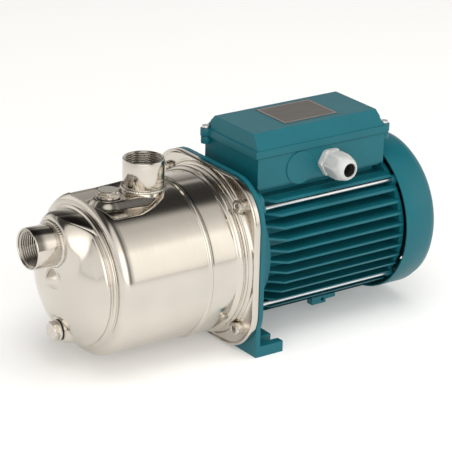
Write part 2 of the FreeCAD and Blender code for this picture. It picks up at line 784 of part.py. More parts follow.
def fan_cover():
    """Pressed cover: a round skirt, a turned-in edge and a slotted back."""
    shell = turned([
        ("cover_start", "cover_radius - cover_sheet"), ("cover_start", "cover_radius"),
        ("cover_end - 12", "cover_radius"), ("cover_end - 5", "cover_radius - 2.4"),
        ("cover_end - 1", "cover_radius - 6.5"), ("cover_end", "cover_radius - 11"),
        ("cover_end", "0"), ("cover_end - cover_sheet", "0"),
        ("cover_end - cover_sheet", "cover_radius - 11"),
        ("cover_end - 2", "cover_radius - 7"), ("cover_end - 5.6", "cover_radius - 3.6"),
        ("cover_end - 12", "cover_radius - cover_sheet"),
    ])
    rings = []
    for radius in (26, 36, 46, 56):
        rings.append(tube(f"{radius} + 2.5", f"{radius} - 2.5", "cover_end - 3", "cover_end + 1"))
    spokes = [
        box(("cover_end - 4", "cover_end + 2"), ("-70", "70"), ("shaft_height - 3", "shaft_height + 3")),
        box(("cover_end - 4", "cover_end + 2"), ("-3", "3"), ("shaft_height - 70", "shaft_height + 70")),
    ]
    slots = cut(fuse(*rings), *spokes)
    holes = [
        rod("2.2", "70", "80", "Y", "fin_end + 9", "shaft_height"),
        rod("2.2", "shaft_height - 80", "shaft_height - 70", "Z", "fin_end + 9", "0"),
    ]
    keep("fan_cover", cut(shell, slots, *holes))
    keep("fan_cover_screws", group(
        fuse(rod("2", "70", "78.85", "Y", "fin_end + 9", "shaft_height"),
             rod("4", "78.85", "80.8", "Y", "fin_end + 9", "shaft_height")),
        fuse(rod("2", "shaft_height - 78.85", "shaft_height - 70", "Z", "fin_end + 9", "0"),
             rod("4", "shaft_height - 80.8", "shaft_height - 78.85", "Z", "fin_end + 9", "0")),
    ))


# ---------------------------------------------------------------- terminal box

def terminal_box():
    base, split = "shaft_height + box_bottom", "shaft_height + box_split"
    shell = cut(
        box(("box_start", "box_end"), ("-box_half", "box_half"), (base, split)),
        box(("box_start + box_wall", "box_end - box_wall"), ("-box_half + box_wall", "box_half - box_wall"),
            (f"{base} + box_wall", f"{split} + 1")),
    )
    knockout = rod("knockout_radius", "-box_half - 1.2", "-box_half + box_wall", "Y",
                   "knockout_x", "shaft_height + box_bottom + knockout_radius - 3.2")
    bosses = [rod("4.8", f"{split} - 7", split, "Z", x, y) for x, y in EARS]
    keep("terminal_box", cut(
        fuse(shell, knockout, *bosses),
        rod("8.1", "-box_half - 1", "-box_half + box_wall + 1", "Y", "gland_x", "shaft_height + gland_z"),
        rod("12", f"{base} - 1", f"{base} + box_wall + 1", "Z", "stack_start - 15", "0"),
        *[rod("1.75", f"{split} - 5", f"{split} + 1", "Z", x, y) for x, y in EARS],
    ))
    keep("lid_gasket", cut(
        box(("box_start + 0.2", "box_end - 0.2"), ("-box_half + 0.2", "box_half - 0.2"),
            (split, f"{split} + 0.8")),
        box(("box_start + box_wall", "box_end - box_wall"), ("-box_half + box_wall", "box_half - box_wall"),
            (f"{split} - 1", f"{split} + 2")),
        *[rod("1.9", f"{split} - 1", f"{split} + 2", "Z", x, y) for x, y in EARS],
    ))


def lid_skin(inset, floor):
    """The lid's rim and its four sloping sides, inset by a wall."""
    rim = f"shaft_height + lid_rim - {inset}"
    slopes = add(
        "Wedge", Xmin=f"box_start - 0.5 + {inset}", Xmax=f"box_end + 0.5 - {inset}",
        X2min=f"box_start + 2.5 + {inset}", X2max=f"box_end - 2.5 - {inset}",
        Zmin=f"{inset} - box_half", Zmax=f"box_half - {inset}",
        Z2min=f"{inset} - lid_top_half", Z2max=f"lid_top_half - {inset}",
        Ymin="0", Ymax="lid_top - lid_rim",
    )
    upright = FreeCAD.Rotation(FreeCAD.Vector(1, 0, 0), 90)
    return fuse(
        move(slopes, z=rim, rotation=upright),
        box((f"box_start - 3 + {inset}", f"box_end + 3 - {inset}"),
            (f"-box_half - 1.4 + {inset}", f"box_half + 1.4 - {inset}"), (floor, rim)),
    )


def terminal_lid():
    floor = "shaft_height + box_split + 0.8"
    top = "shaft_height + lid_rim"
    ears = [rod("5.5", floor, top, "Z", x, y) for x, y in EARS]
    keep("terminal_lid", cut(
        fuse(lid_skin("0", floor), *ears),
        lid_skin("box_wall", f"{floor} - 1"),
        *[rod("2.2", f"{floor} - 1", f"{top} + 1", "Z", x, y) for x, y in EARS],
        *[rod("4.7", top, f"{top} + 12", "Z", x, y) for x, y in EARS],
    ))
    keep("lid_screws", group(*[
        fuse(rod("3.9", top, f"{top} + 3", "Z", x, y), rod("1.7", f"{top} - 12", top, "Z", x, y))
        for x, y in EARS
    ]))
    plate_top = "shaft_height + lid_top"
    keep("rating_plate", box(("70", "135"), ("-23", "26"), (plate_top, f"{plate_top} + 0.4")))


def box_contents():
    """Terminal board with six studs, and the run capacitor in its clip."""
    floor = "shaft_height + box_bottom + box_wall"
    keep("terminal_board", cut(
        box(("box_start + 30", "box_start + 62"), ("-22", "22"), (floor, f"{floor} + 8")),
        *[rod("2", f"{floor} + 1", f"{floor} + 9", "Z", f"box_start + {38 + 16 * column}", f"{12 * row}")
          for row in (-1, 0, 1) for column in (0, 1)],
    ))
    keep("terminal_studs", group(*[
        rod("1.95", f"{floor} + 1", f"{floor} + 16", "Z", f"box_start + {38 + 16 * column}", f"{12 * row}")
        for row in (-1, 0, 1) for column in (0, 1)
    ]))
    middle = f"{floor} + 20"
    keep("capacitor", rod("17", "box_start + 74", "box_end - 8", across="14", up=middle))
    keep("capacitor_clip", cut(
        fuse(rod("18.2", "box_start + 100", "box_start + 112", across="14", up=middle),
             box(("box_start + 100", "box_start + 112"), ("6", "22"), (floor, f"{floor} + 6"))),
        rod("17.05", "box_start + 99", "box_start + 113", across="14", up=middle),
    ))


def cable_gland():
    """Gland on the near wall: body and locknut in the wall, seal and domed nut outside."""
    wall = "-box_half"
    up = "shaft_height + gland_z"

    def bar(radius, start, end):
        return rod(radius, start, end, "Y", "gland_x", up)

    keep("gland_body", cut(
        fuse(
            hexagon("gland_flats", f"{wall} - 6", wall, "Y", "gland_x", up),
            bar("8", wall, f"{wall} + 9"),
            bar("9", f"{wall} - 18", f"{wall} - 6"),
        ),
        bar("gland_bore + 0.5", f"{wall} - 19", f"{wall} + 10"),
    ))
    keep("gland_locknut", cut(
        hexagon("21", f"{wall} + box_wall", f"{wall} + box_wall + 4", "Y", "gland_x", up),
        bar("8", f"{wall}", f"{wall} + 10"),
    ))
    keep("gland_seal", cut(
        bar("8.8", f"{wall} - 28", f"{wall} - 18"), bar("gland_bore", f"{wall} - 29", f"{wall} - 17")))
    keep("gland_nut", cut(
        fuse(
            hexagon("gland_flats - 1", f"{wall} - 24", f"{wall} - 9", "Y", "gland_x", up),
            cone("9.5", "12", f"{wall} - 33", f"{wall} - 24", "Y", "gland_x", up),
        ),
        bar("9.05", f"{wall} - 28.3", f"{wall} - 8"),
        bar("gland_bore + 1.5", f"{wall} - 34", f"{wall} - 28"),
    ))


# ---------------------------------------------------------------- build and write

def check_document():
    doc.recompute()
    for feature in doc.Objects:
        if "Invalid" in feature.State or "Error" in feature.State:
            raise RuntimeError(f"{feature.Name} ({feature.Label}) failed: {feature.State}")
    for node, feature in NODES.items():
        shape = feature.Shape
        if shape.isNull() or not shape.isValid() or not shape.Solids:
            raise RuntimeError(f"{node} has no valid solid")


def write_parts():
    os.makedirs("parts", exist_ok=True)
    for old in os.listdir("parts"):
        os.remove(os.path.join("parts", old))
    for node, feature in NODES.items():
        feature.Shape.exportStep(f"parts/{node}.step")


for make in (
    pump_casing, delivery_neck, sockets, plugs, vent_screw, casing_screws, hydraulics, impeller,
    shaft_seal, pump_bracket, motor_housing, windings_and_rotor, rear_end, fan, fan_cover,
    terminal_box, terminal_lid, box_contents, cable_gland,
):
    make()
bearing("front", "front_bearing")
bearing("rear", "rear_bearing")
check_document()
write_parts()
for node, feature in NODES.items():
    bounds = feature.Shape.BoundBox
    print(f"{node:22s} solids {len(feature.Shape.Solids):2d} volume {feature.Shape.Volume:10.0f}"
          f"  x {bounds.XMin:7.1f} {bounds.XMax:7.1f}  y {bounds.YMin:7.1f} {bounds.YMax:7.1f}"
          f"  z {bounds.ZMin:7.1f} {bounds.ZMax:7.1f}")
print(f"{len(NODES)} nodes")
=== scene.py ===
import json
import math

import bmesh
import bpy
from mathutils import Matrix, Vector


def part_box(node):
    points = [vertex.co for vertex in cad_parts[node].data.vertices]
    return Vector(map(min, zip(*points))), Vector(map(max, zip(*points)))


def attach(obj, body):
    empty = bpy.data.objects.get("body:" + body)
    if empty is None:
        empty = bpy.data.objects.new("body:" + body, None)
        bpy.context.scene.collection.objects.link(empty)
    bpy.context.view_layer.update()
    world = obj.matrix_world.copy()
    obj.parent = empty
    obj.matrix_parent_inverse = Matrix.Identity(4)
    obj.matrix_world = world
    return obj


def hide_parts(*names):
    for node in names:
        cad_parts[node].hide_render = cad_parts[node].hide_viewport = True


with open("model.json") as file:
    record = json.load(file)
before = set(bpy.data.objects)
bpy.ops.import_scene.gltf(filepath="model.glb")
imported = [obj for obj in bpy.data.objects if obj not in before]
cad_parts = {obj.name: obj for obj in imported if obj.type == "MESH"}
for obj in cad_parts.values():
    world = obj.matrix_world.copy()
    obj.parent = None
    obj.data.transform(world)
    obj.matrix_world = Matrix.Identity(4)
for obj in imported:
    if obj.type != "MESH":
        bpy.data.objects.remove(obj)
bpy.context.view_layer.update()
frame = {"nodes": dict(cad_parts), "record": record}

MM = 0.001
TOUCH = 1e-6  # metres: points nearer than this are one
AXIS = sum(corner.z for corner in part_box("motor_shaft")) / 2 / MM


def span(node):
    """A node's lowest and highest corners in millimetres, with z from the shaft's axis."""
    return tuple(Vector(corner) / MM - Vector((0, 0, AXIS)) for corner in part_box(node))


def at(x, y, z):
    return Vector((x, y, z + AXIS)) * MM


def smooth(low, high, value):
    t = min(max((value - low) / (high - low), 0.0), 1.0)
    return t * t * (3 - 2 * t)


def mix(a, b, t):
    return a + (b - a) * t


# ---------------------------------------------------------------- materials

def node_of(tree, kind, inputs=(), **settings):
    node = tree.nodes.new("ShaderNode" + kind)
    for name, value in settings.items():
        setattr(node, name, value)
    for name, value in inputs:
        socket = node.inputs[name]
        if hasattr(value, "node"):
            tree.links.new(value, socket)
        else:
            socket.default_value = value
    return node


def finish_of(name, colour, other=None, rough=(0.3, 0.4), grain=(300, 300, 300), patch=25.0,
              bump=0.1, depth=0.0002, **sockets):
    """A procedural finish: two tints in soft patches, with roughness and bump from a stretched grain."""
    made = bpy.data.materials.new(name)
    made.use_nodes = True
    tree = made.node_tree
    shader = tree.nodes["Principled BSDF"]
    place = node_of(tree, "TexCoord").outputs["Object"]
    stretched = node_of(tree, "Mapping", [("Vector", place), ("Scale", grain)]).outputs["Vector"]
    fine = node_of(tree, "TexNoise", [("Vector", stretched), ("Scale", 1.0), ("Detail", 4.0)]).outputs["Fac"]
    soft = node_of(tree, "TexNoise", [("Vector", place), ("Scale", patch), ("Detail", 3.0)]).outputs["Fac"]
    tint = node_of(tree, "Mix", data_type="RGBA")
    ramp = node_of(tree, "MapRange", [("Value", soft), ("From Min", 0.3), ("From Max", 0.7)])
    tree.links.new(ramp.outputs["Result"], tint.inputs["Factor"])
    tint.inputs[6].default_value = (*colour, 1)
    tint.inputs[7].default_value = (*(other or [c * 0.88 for c in colour]), 1)
    tree.links.new(tint.outputs[2], shader.inputs["Base Color"])
    gloss = node_of(tree, "MapRange", [
        ("Value", fine), ("From Min", 0.3), ("From Max", 0.7), ("To Min", rough[0]), ("To Max", rough[1])])
    tree.links.new(gloss.outputs["Result"], shader.inputs["Roughness"])
    relief = node_of(tree, "Bump", [("Height", fine), ("Strength", bump), ("Distance", depth)])
    tree.links.new(relief.outputs["Normal"], shader.inputs["Normal"])
    for socket, value in sockets.items():
        shader.inputs[socket.replace("_", " ")].default_value = value
    return made


PAINT = (0.006, 0.108, 0.136)
FINISH = {
    "polished_stainless": finish_of("polished_steel", (0.66, 0.62, 0.56), (0.62, 0.58, 0.52), (0.11, 0.17),
                                    (700, 40, 40), bump=0.02, Metallic=1.0),
    "machined_stainless": finish_of("machined_steel", (0.66, 0.62, 0.57), (0.58, 0.55, 0.50), (0.20, 0.30),
                                    (900, 900, 300), bump=0.03, Metallic=1.0),
    "teal_paint": finish_of("teal_paint", PAINT, (0.005, 0.098, 0.124), (0.30, 0.42), (700, 700, 700),
                            bump=0.12, Specular_IOR_Level=0.30),
    "zinc_plate": finish_of("zinc", (0.80, 0.81, 0.83), (0.74, 0.75, 0.78), (0.24, 0.34), (60, 300, 300),
                            bump=0.01, Metallic=1.0),
    "plastic_grey": finish_of("pale_plastic", (0.50, 0.50, 0.49), (0.46, 0.46, 0.45), (0.38, 0.5),
                              (900, 900, 900), bump=0.08, Subsurface_Weight=0.05),
    "plastic_black": finish_of("black_plastic", (0.018, 0.018, 0.019), (0.014, 0.014, 0.015), (0.4, 0.55),
                               (900, 900, 900), bump=0.15),
    "rubber_black": finish_of("rubber", (0.012, 0.012, 0.012), (0.018, 0.018, 0.018), (0.6, 0.75),
                              (1200, 1200, 1200), bump=0.2),
    "brass": finish_of("brass", (0.72, 0.48, 0.20), (0.66, 0.43, 0.18), (0.2, 0.32), (500, 500, 900),
                       Metallic=1.0),
    "ceramic": finish_of("ceramic", (0.80, 0.78, 0.72), None, (0.2, 0.3)),
    "carbon": finish_of("carbon", (0.03, 0.03, 0.032), None, (0.35, 0.5)),
    "lamination_steel": finish_of("laminations", (0.30, 0.31, 0.33), (0.22, 0.22, 0.24), (0.35, 0.55),
                                  (2000, 60, 60), bump=0.4, Metallic=0.9),
    "copper_wire": finish_of("copper", (0.72, 0.30, 0.16), (0.60, 0.24, 0.12), (0.25, 0.4), (300, 1500, 1500),
                             bump=0.5, Metallic=1.0),
    "bearing_steel": finish_of("bearing_steel", (0.68, 0.69, 0.70), None, (0.12, 0.2), (900, 900, 900),
                               Metallic=1.0),
    "cast_aluminium": finish_of("cast_aluminium", (0.52, 0.53, 0.54), (0.46, 0.47, 0.48), (0.4, 0.55),
                                (600, 600, 600), bump=0.3, Metallic=1.0),
    "label_grey": finish_of("label_metal", (0.135, 0.122, 0.112), (0.12, 0.108, 0.10), (0.36, 0.5),
                            (60, 1200, 1200), bump=0.05, Metallic=0.35),
    # the thread steel is darker than the casing's steel: painted shade inside the socket's bore
    "thread": finish_of("cut_thread_painted_shade", (0.52, 0.49, 0.44), (0.44, 0.41, 0.37), (0.14, 0.24), (900, 900, 900),
                        bump=0.05, Metallic=1.0),
    "plate_line": finish_of("plate_line", (0.42, 0.41, 0.40), None, (0.3, 0.4), Metallic=0.6),
}
# the record's slot for each finish that is not one itself
SLOT_OF = {part["node"]: part["material_slot"] for part in frame["record"]["subparts"]}


# ---------------------------------------------------------------- piece builders

def piece(name, mesh, slot, body="root", stands_for=(), smooth_angle=35):
    """A finished piece of the visual model, riding on its CAD body."""
    made = bpy.data.objects.new(name, mesh)
    bpy.context.scene.collection.objects.link(made)
    mesh.materials.append(FINISH[slot])
    mesh.shade_smooth()
    mesh.set_sharp_from_angle(angle=math.radians(smooth_angle))
    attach(made, body)
    if stands_for:
        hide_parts(*stands_for)
    return made


def sheet_mesh(name, rows, keep=None):
    """A mesh through closed rows of points; keep(centre) says which of its faces stay."""
    form = bmesh.new()
    grid = [[form.verts.new(point) for point in row] for row in rows]
    for near, far in zip(grid, grid[1:]):
        for i in range(len(near)):
            j = (i + 1) % len(near)
            form.faces.new((near[i], near[j], far[j], far[i]))
    if keep:
        stray = [f for f in form.faces if not keep(f.calc_center_median() / MM - Vector((0, 0, AXIS)))]
        bmesh.ops.delete(form, geom=stray, context="FACES")
    bmesh.ops.remove_doubles(form, verts=form.verts, dist=TOUCH)
    bmesh.ops.recalc_face_normals(form, faces=form.faces)
    made = bpy.data.meshes.new(name)
    form.to_mesh(made)
    form.free()
    return made


def frame_along(origin, direction):
    """The matrix that puts local Z along a direction, from an origin in millimetres."""
    turn = Vector(direction).to_track_quat("Z", "Y").to_matrix().to_4x4()
    return Matrix.Translation(at(*origin)) @ turn


def hexagon(flats, angle):
    """A hexagon's radius at an angle, from its width across flats."""
    return flats / 2 / math.cos(angle % (math.pi / 3) - math.pi / 6)


def spun_rows(place, stations, columns=96):
    """Rows about a local axis; a station is (height, radius), with flats added where a hexagon cuts it."""
    rows = []
    for station in stations:
        height, radius = station[0], station[1]
        row = []
        for i in range(columns):
            angle = math.tau * i / columns
            size = radius(angle, height) if callable(radius) else radius
            if len(station) > 2:
                size = min(size, hexagon(station[2], angle))
            row.append(place @ (Vector((math.cos(angle) * size, math.sin(angle) * size, height)) * MM))
        rows.append(row)
    return rows


def chaikin(points, times=2):
    """An open line with its corners cut smooth."""
    for _ in range(times):
        cut = [points[0]]
        for a, b in zip(points, points[1:]):
            cut.append(tuple(mix(p, q, 0.25) for p, q in zip(a, b)))
            cut.append(tuple(mix(p, q, 0.75) for p, q in zip(a, b)))
        points = cut + [points[-1]]
    return points


def finely(points, step):
    """The line with no run longer than a step."""
    dense = [points[0]]
    for a, b in zip(points, points[1:]):
        length = math.dist(a, b)
        parts = max(1, math.ceil(length / step))
        dense += [tuple(mix(p, q, k / parts) for p, q in zip(a, b)) for k in range(1, parts + 1)]
    return dense


# ---------------------------------------------------------------- pump casing

suction_lo, suction_hi = span("suction_socket")
delivery_lo, delivery_hi = span("delivery_socket")
SUCTION_Z = (suction_lo.z + suction_hi.z) / 2
DELIVERY_X = (delivery_lo.x + delivery_hi.x) / 2
SOCKET_R = (suction_hi.y - suction_lo.y) / 2
PAD_X = suction_hi.x
FLANGE = span("pump_casing")[1].y
CORNER = 45.0
FLAT_Z = 66.0
SCREW_SIDE = 62.5
SCREWS = [(y * SCREW_SIDE, z * SCREW_SIDE) for y in (-1, 1) for z in (-1, 1)]
LAND_X = -5.6  # the flat land under the screws' heads
SCALLOP_R, LAND_R = 7.4, 9.4
SEAT_X = -168.9  # the flat seat under the drain plug
NUB_Z, NUB_WIDE, NUB_TALL, NUB_RISE = 3.5, 12.5, 11.0, 8.0
SUCTION_HOLE, DELIVERY_HOLE = 17.8, 18.0
DRAIN_Z = sum(corner.z for corner in span("drain_plug")) / 2
FILL_X = sum(corner.x for corner in span("fill_plug")) / 2
DOME = [
    (-176.0, 0.0), (-176.0, 14), (-175.4, 22), (-174.2, 31), (-171.6, 41), (-167.5, 49.5),
    (-163.5, 55.6), (-160.2, 59.8), (-158.2, 62.6), (-156.8, 64.6), (-155.4, 65.5), (-153.8, 65.6),
    (-152.6, 65.0), (-151.6, 65.0), (-151.0, 66.4), (-150.4, 68.2), (-149.4, 68.9), (-148.6, 68.3),
    (-148.0, 67.6), (-147.2, 68.2), (-146.7, 70.2), (-146.0, 73.0), (-144.4, 75.7), (-142.0, 77.6),
    (-138.8, 78.5), (-135.0, 78.7),
]
BARREL = [
    (-135.0, 78.7), (-54.4, 78.7), (-53.4, 78.5), (-52.6, 79.2), (-51.8, 80.3), (-50.6, 80.9),
    (-49.6, 80.2), (-48.8, 78.9), (-48.0, 78.3), (-47.0, 78.6), (-45.5, 78.7), (-22.0, 78.7),
    (-20.8, 78.5), (-19.8, 79.4), (-18.4, 81.2), (-16.6, 81.9), (-15.2, 81.2), (-14.4, 79.9),
    (-13.6, 79.6), (-12.9, 80.8), (-12.2, 82.0), (-11.2, 82.3), (-10.4, 81.6), (-9.8, 81.7),
    (-9.2, 83.0), (-8.4, 84.0), (-7.4, 84.3),
]
FLAT_PLAN = [
    (-142.5, 0), (-142, 16), (-133, 41), (-105, 41), (-88, 35), (-75, 27), (-66.4, 16), (-64.5, 0),
]


def flange_radius(angle, half):
    """The distance from the axis to the flange's rounded square outline."""
    u, v = abs(math.cos(angle)), abs(math.sin(angle))
    side, corner = FLANGE - CORNER, CORNER + half - FLANGE
    if half / max(u, v) * min(u, v) <= side:
        return half / max(u, v)
    return side * (u + v) + math.sqrt((side * (u + v)) ** 2 - 2 * side ** 2 + corner ** 2)


def inside_plan(x, y):
    """How far a point lies inside the flat's plan, negative outside."""
    y = abs(y)
    best = 1e9
    crossings = 0
    for (x0, y0), (x1, y1) in zip(FLAT_PLAN, FLAT_PLAN[1:]):
        run = Vector((x1 - x0, y1 - y0))
        t = min(max((Vector((x - x0, y - y0)).dot(run)) / run.length_squared, 0), 1)
        best = min(best, math.hypot(x - x0 - t * run.x, y - y0 - t * run.y))
        if (x0 <= x) != (x1 <= x) and y < y0 + (x - x0) / (x1 - x0) * (y1 - y0):
            crossings += 1
    return best if crossings % 2 else -best


def ridge_height(x, y):
    """How far the ridge between the fill plug and the neck stands above the flat."""
    foot, head = FILL_X, DELIVERY_X - 4.0
    t = min(max((x - foot) / (head - foot), 0.0), 1.0)
    off = math.hypot(x - mix(foot, head, t), y) / mix(16.5, 22.0, t)
    return mix(6.6, 8.5, t) * (1 - smooth(0.74, 1.26, off))


def top_height(x, y):
    """The pressed top: a flat that sinks a little to its middle, with the ridge on it."""
    return FLAT_Z - 0.8 * (1 - smooth(10, 40, abs(y))) + ridge_height(x, y)


def casing_point(x, radius, angle):
    y, z = math.cos(angle) * radius, math.sin(angle) * radius
    if radius < 66:
        # the pad pressed out round the suction socket, the seat of the drain plug, and the nub between them
        rise = 1 - smooth(23.5, 41.0, math.hypot(y, z - SUCTION_Z))
        x = min(x, mix(x, PAD_X + 0.35, rise))
        seat = 1 - smooth(11.5, 16.5, math.hypot(y, z - DRAIN_Z))
        x = mix(x, SEAT_X, seat)
        nub = max(0.0, 1 - (math.hypot(y / NUB_WIDE, (z - NUB_Z) / NUB_TALL)) ** 2)
        x -= NUB_RISE * nub ** 1.3
    if z > FLAT_Z and x > -147:
        deep = inside_plan(x, y)
        if x < -108:
            share = smooth(-2.5, 2.5, deep)
        else:
            share = smooth(-4.0, mix(3.0, 8.0, smooth(-108, -80, x)), deep)
        z = mix(z, min(z, top_height(x, y)), share)
    for sy, sz in SCREWS:
        # a scallop in the shell clears the screw's head, and the land under it is flat
        off = math.hypot(y - sy, z - sz)
        if -20 < x < -8.0 and off < SCALLOP_R:
            y, z = mix(sy, y, SCALLOP_R / off), mix(sz, z, SCALLOP_R / off)
        elif -8.0 <= x < LAND_X and off < LAND_R:
            x = mix(x, LAND_X, 1 - smooth(SCALLOP_R, LAND_R, off))
    return at(x, y, z)


def casing_skin():
    """The pressed shell from the dome's middle to the flange's back, with holes for the two sockets."""
    columns = 384
    angles = [math.tau * i / columns for i in range(columns)]
    line = finely(chaikin(DOME), 1.1) + finely(chaikin(BARREL), 2.0)[1:]
    line[0] = (line[0][0], 0.01)
    rows = [[casing_point(x, radius, a) for a in angles] for x, radius in line]
    edge_r = line[-1][1]
    for x, share in ((-6.3, 0.08), (LAND_X, 0.18), (LAND_X, 0.5), (LAND_X, 0.72), (-5.9, 0.80), (-7.0, 0.88),
                     (-7.5, 0.94), (-7.3, 0.99)):
        rows.append([casing_point(x, mix(edge_r, flange_radius(a, FLANGE - 0.6), share), a) for a in angles])
    for x, half in ((-6.6, FLANGE - 0.15), (-5.0, FLANGE), (-1.4, FLANGE), (-0.7, FLANGE - 0.3),
                    (-0.5, FLANGE - 1.2), (-0.5, FLANGE - 5)):
        edge = [flange_radius(a, half) for a in angles]
        rows.append([at(x, math.cos(a) * r, math.sin(a) * r) for a, r in zip(angles, edge)])

    def stays(c):
        if math.hypot(c.y, c.z - SUCTION_Z) < SUCTION_HOLE and c.x < -150:
            return False
        return not (c.z > 60 and math.hypot(c.x - DELIVERY_X, c.y) < DELIVERY_HOLE)

    piece("casing_shell", sheet_mesh("casing_shell", rows, stays), "polished_stainless",
          stands_for=["pump_casing"], smooth_angle=60)


casing_skin()


# ---------------------------------------------------------------- pipe sockets

PITCH = 2.309
THREAD = 1.45  # how deep the thread is cut
BORE = 16.62
ROWS_PER_PITCH = 8


def threaded_socket(name, place, length, bore, outer, node):
    """A pipe socket with its internal pipe thread cut as a real helix."""
    def thread(angle, height):
        phase = (height / PITCH - angle / math.tau) % 1.0
        tooth = smooth(0.0, 0.5, phase) if phase < 0.5 else smooth(1.0, 0.5, phase)
        fade = 1 - smooth(length - 2.4, length - 1.2, height)
        return bore + THREAD * (1 - tooth * fade)

    depth = 24.0
    steps = int(depth / PITCH * ROWS_PER_PITCH)
    inner = [(length - 0.9 - depth * k / steps, thread) for k in range(steps + 1)]
    stations = [
        (0, outer - 0.2), (0.4, outer), (length - 0.9, outer), (length - 0.3, outer - 0.2),
        (length, outer - 0.7), (length, bore + 2.3), (length - 0.3, bore + 2.0),
        (length - 0.9, bore + THREAD),
    ]
    piece(name, sheet_mesh(name, spun_rows(place, stations, 144)), "polished_stainless", stands_for=[node],
          smooth_angle=50)
    # the bore's thread takes the darker thread steel, painted shade in the bore
    bore_rows = spun_rows(place, [*inner, (0.2, bore - 0.1), (0, bore)], 144)
    piece(f"{name}_thread", sheet_mesh(f"{name}_thread", bore_rows), "thread", smooth_angle=60)


def weld(name, place, radius):
    """A welded joint's bead, with the overlapping ripples the torch leaves."""
    thick, beads = 2.1, 54
    columns, ring = beads * 8, 12
    rows = []
    for k in range(ring + 1):
        turn = math.tau * k / ring
        row = []
        for i in range(columns):
            angle = math.tau * i / columns
            phase = (angle * beads / math.tau + 0.30 * math.cos(turn)) % 1.0
            size = thick * (0.86 + 0.24 * math.sqrt(1 - phase))
            wander = 0.12 * thick * math.sin(3 * angle + 0.7) + 0.08 * thick * math.sin(11 * angle)
            r = radius + wander + size * math.cos(turn)
            height = size * 0.8 * math.sin(turn)
            row.append(place @ (Vector((math.cos(angle) * r, math.sin(angle) * r, height)) * MM))
        rows.append(row)
    piece(name, sheet_mesh(name, rows), "machined_stainless", smooth_angle=80)


suction = frame_along((PAD_X, 0, SUCTION_Z), (-1, 0, 0))
delivery = frame_along((DELIVERY_X, 0, delivery_lo.z), (0, 0, 1))
threaded_socket("suction_socket_turned", suction, PAD_X - suction_lo.x, BORE, SOCKET_R, "suction_socket")
threaded_socket("delivery_socket_turned", delivery, delivery_hi.z - delivery_lo.z, BORE, SOCKET_R,
                "delivery_socket")
weld("suction_weld", suction, SOCKET_R + 0.6)
weld("delivery_weld", delivery, SOCKET_R - 0.1)


# ---------------------------------------------------------------- delivery neck

def neck():
    """The pressed neck: an elbow under the socket that sweeps over into the ridge and the flat."""
    columns, steps = 144, 36
    rim, sink = SOCKET_R - 0.6, 0.6
    rows = []
    for k in range(steps + 1):
        t = k / steps
        row = []
        for i in range(columns):
            angle = math.tau * i / columns
            c, s = math.cos(angle), math.sin(angle)
            back = max(-c, 0) ** 1.5
            start = Vector((DELIVERY_X + c * rim, s * rim, delivery_lo.z))
            x, y = DELIVERY_X - 3.0 + c * (23.5 + 9.0 * back), s * 25.5
            end = Vector((x, y, top_height(x, y) - sink))
            fall = Vector((-2 * max(c, 0) + 3 * max(-c, 0), 0, -9 - 2 * back))
            spread = Vector((c - 0.25, s, -0.55 + 0.45 * back)) * (6 + 9 * back + 3 * abs(s))
            # the weights of a Hermite curve from the rim to the foot
            h = (2 * t ** 3 - 3 * t ** 2 + 1, t ** 3 - 2 * t ** 2 + t,
                 -2 * t ** 3 + 3 * t ** 2, t ** 3 - t ** 2)
            row.append(at(*(start * h[0] + fall * h[1] + end * h[2] + spread * h[3])))
        rows.append(row)
    piece("neck_pressing", sheet_mesh("neck_pressing", rows), "polished_stainless",
          stands_for=["delivery_neck"], smooth_angle=80)


neck()


# ---------------------------------------------------------------- plugs and screws

def plug(name, place, tall, collar, flats, node):
    """A hexagon plug with a round collar and chamfered corners, on the body named as its node."""
    rise = 2.4
    stations = [
        (-8, 6.2), (-0.2, 6.2), (0, 6.4), (0.05, collar - 0.5), (0.35, collar), (rise - 0.5, collar),
        (rise, collar - 0.5), (rise + 0.05, flats * 0.56, flats), (tall - 1.4, flats * 0.577, flats),
        (tall - 0.5, flats * 0.535, flats), (tall, flats * 0.48, flats), (tall + 0.02, 0.02),
    ]
    piece(name, sheet_mesh(name, spun_rows(place, stations)), SLOT_OF[node], node, [node], 25)


fill_seat, fill_top = span("fill_plug_washer")[1].z, span("fill_plug")[1].z
plug("fill_plug_turned", frame_along((FILL_X, 0, fill_seat), (0, 0, 1)), fill_top - fill_seat,
     collar=11.6, flats=19.0, node="fill_plug")
drain_seat, drain_end = span("drain_plug_washer")[0].x, span("drain_plug")[0].x
plug("drain_plug_turned", frame_along((drain_seat, 0, DRAIN_Z), (-1, 0, 0)), drain_seat - drain_end,
     collar=10.4, flats=17.0, node="drain_plug")


def socket_screws():
    """The four cap screws that clamp the casing, heads with a hexagon socket."""
    form = bmesh.new()
    tall = LAND_X - span("casing_screws")[0].x
    key = 6.0
    for index, (y, z) in enumerate(SCREWS):
        place = frame_along((LAND_X, y, z), (-1, 0, 0)) @ Matrix.Rotation(0.4 + index, 4, "Z")
        stations = [
            (-1, 4), (-0.5, 6.2), (0, 6.5), (tall - 0.9, 6.5), (tall - 0.25, 6.25), (tall, 5.7), (tall, 3.9),
            (tall - 0.5, 3.45), (tall - 0.55, 3.46, key), (tall - 4.2, 3.46, key), (tall - 4.3, 3.3, key),
            (tall - 5.2, 0.02),
        ]
        part = sheet_mesh("screw", spun_rows(place, stations, 48))
        form.from_mesh(part)
        bpy.data.meshes.remove(part)
    mesh = bpy.data.meshes.new("cap_screws")
    form.to_mesh(mesh)
    form.free()
    piece("cap_screws", mesh, "machined_stainless", stands_for=["casing_screws"])


socket_screws()


# ---------------------------------------------------------------- cable gland and plate

